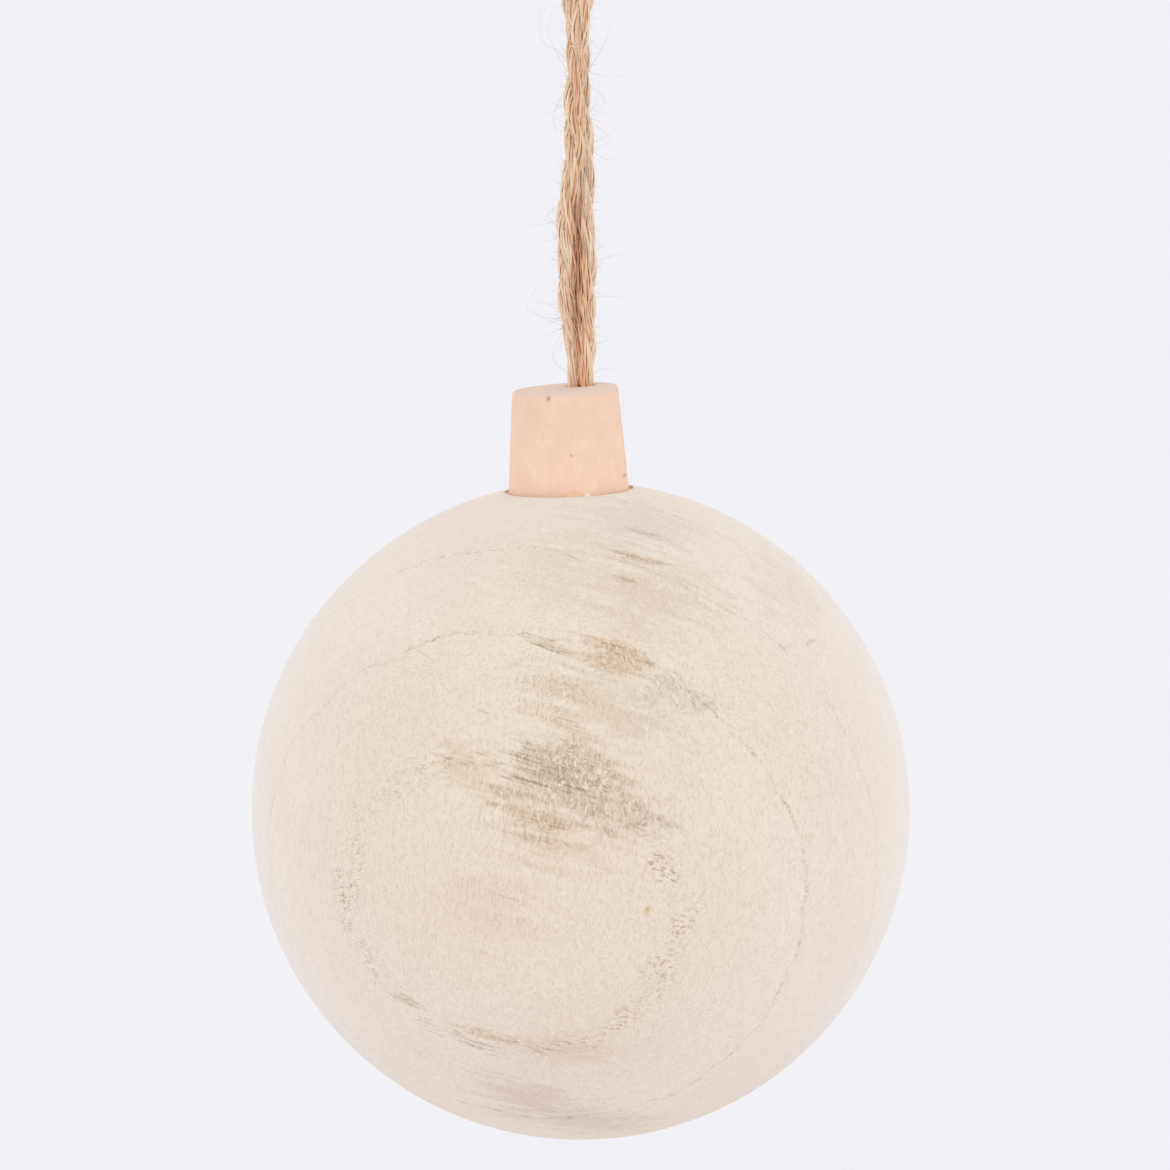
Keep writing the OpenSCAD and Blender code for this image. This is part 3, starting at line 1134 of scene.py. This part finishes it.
def jute_fibre():
    material, tree, shader = new_material("jute_fibre")
    colour = mix_colour(tree, strand_tone(tree), JUTE_DARK, JUTE_PALE)
    point = millimetres(tree, (PAIR_DRIFT, 0, -HANG_H))
    height = node(tree, "SeparateXYZ", point).outputs["Z"]
    aside = stretched(tree, point, (1, 1, 0))

    # Painted shade darkens the groove between the legs where they lie side by side
    reach = vector_of(tree, "LENGTH", aside)
    groove = times(tree, step_between(tree, reach, 1.3, 0.4), step_between(tree, height, 3, 10))
    groove = times(tree, groove, step_between(tree, height, 32, 20))
    colour = mix_colour(tree, times(tree, groove, 0.7), colour, JUTE_GROOVE_SHADE)

    # Painted sheen makes the cord paler where it is seen along its side, standing in for the glow of its
    # fuzz, and painted light makes it paler higher up
    outward = node(
        tree,
        "VectorTransform",
        vector_of(tree, "NORMALIZE", aside),
        vector_type="NORMAL",
        convert_from="OBJECT",
        convert_to="WORLD",
    ).outputs["Vector"]
    painted_light = node(tree, "LayerWeight", Blend=0.5, Normal=outward).outputs["Facing"]
    painted_light = times(tree, step_between(tree, painted_light, 0, 0.7), 0.45)
    painted_light = plus(tree, painted_light, times(tree, step_between(tree, height, 14, 26), 0.14))
    dress(tree, shader, mix_colour(tree, painted_light, colour, JUTE_PAINTED_LIGHT), JUTE_ROUGHNESS)
    return material


def jute_fuzz():
    material, tree, shader = new_material("jute_fuzz")
    dress(tree, shader, mix_colour(tree, strand_tone(tree), FUZZ_DARK, FUZZ_PALE), JUTE_ROUGHNESS)
    return material


def glue():
    material, tree, shader = new_material("dried_glue")
    dress(tree, shader, mix_colour(tree, strand_tone(tree), GLUE_AMBER, GLUE_CRUMB), roughness=0.4)
    return material


def finish_piece(piece, material, slot, *nodes):
    piece.data.materials.clear()
    piece.data.materials.append(material)
    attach(piece, "root")
    if nodes:
        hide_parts(*nodes)


# Stage
FLOOR_GAP = 0.08
FLOOR_R = 60
FLOOR_SEGMENTS = 96
FLOOR_COLOUR = (0.92, 0.912, 0.955, 1)
BACKGROUND = srgb(242, 241, 246)
DOME_SIDE = 1.16
DOME_TOP = 0.82
KEY_LIGHT = 0.12
KEY_TURN = (math.radians(50), 0, math.radians(25))
KEY_SPREAD = math.radians(90)


def studio_floor():
    fresh()
    bpy.ops.mesh.primitive_circle_add(
        vertices=FLOOR_SEGMENTS, radius=FLOOR_R, fill_type="NGON", location=(0, 0, ball_low.z - FLOOR_GAP)
    )
    floor = named("studio_floor")
    material, tree, shader = new_material("pale_floor")
    dress(tree, shader, FLOOR_COLOUR, roughness=1, specular=0)
    floor.data.materials.append(material)


def studio_light():
    world = bpy.data.worlds.new("studio_dome")
    bpy.context.scene.world = world
    world.use_nodes = True
    tree = world.node_tree
    tree.nodes.clear()
    # The dome is a little brighter at its sides than overhead, as in a light tent
    height = node(tree, "SeparateXYZ", node(tree, "TexCoord").outputs["Generated"]).outputs["Z"]
    level = node(tree, "MapRange", height, 0.0, 1.0, DOME_SIDE, DOME_TOP).outputs["Result"]
    light = node(tree, "Background", (1, 1, 1, 1), level)
    seen = node(tree, "Background", BACKGROUND, 1.0)
    rays = node(tree, "LightPath").outputs
    shown = larger(tree, rays["Is Camera Ray"], rays["Is Glossy Ray"])
    shown = larger(tree, shown, rays["Is Transmission Ray"])
    blend = node(tree, "MixShader", shown, light.outputs[0], seen.outputs[0])
    node(tree, "OutputWorld", blend.outputs[0])

    bpy.ops.object.light_add(type="SUN", rotation=KEY_TURN)
    key = bpy.context.object
    key.name = "soft_key"
    key.data.energy = KEY_LIGHT
    key.data.angle = KEY_SPREAD


bpy.context.scene.view_settings.view_transform = "Standard"
camera = photo_camera()
cord, hairs, fibres, cord_line, cord_length = hanger()
tied_ends = knot()
ball = turned_ball()
cap = turned_cap()
bead = glue_bead()
studio_floor()
studio_light()

cord_fibre = jute_fibre()
cord_fuzz = jute_fuzz()
wood_stain = stain_group()
finish_piece(cord, cord_fibre, "jute_cord", "hanger_cord")
finish_piece(hairs, cord_fuzz, "jute_cord")
finish_piece(fibres, cord_fuzz, "jute_cord")
finish_piece(tied_ends, cord_fibre, "jute_cord", "hanger_knot")
finish_piece(ball, ball_wood(wood_stain), "ball_wood", "wooden_ball")
finish_piece(cap, cap_wood(wood_stain), "cap_wood", "wooden_cap")
bead.data.materials.append(glue())
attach(bead, "root")
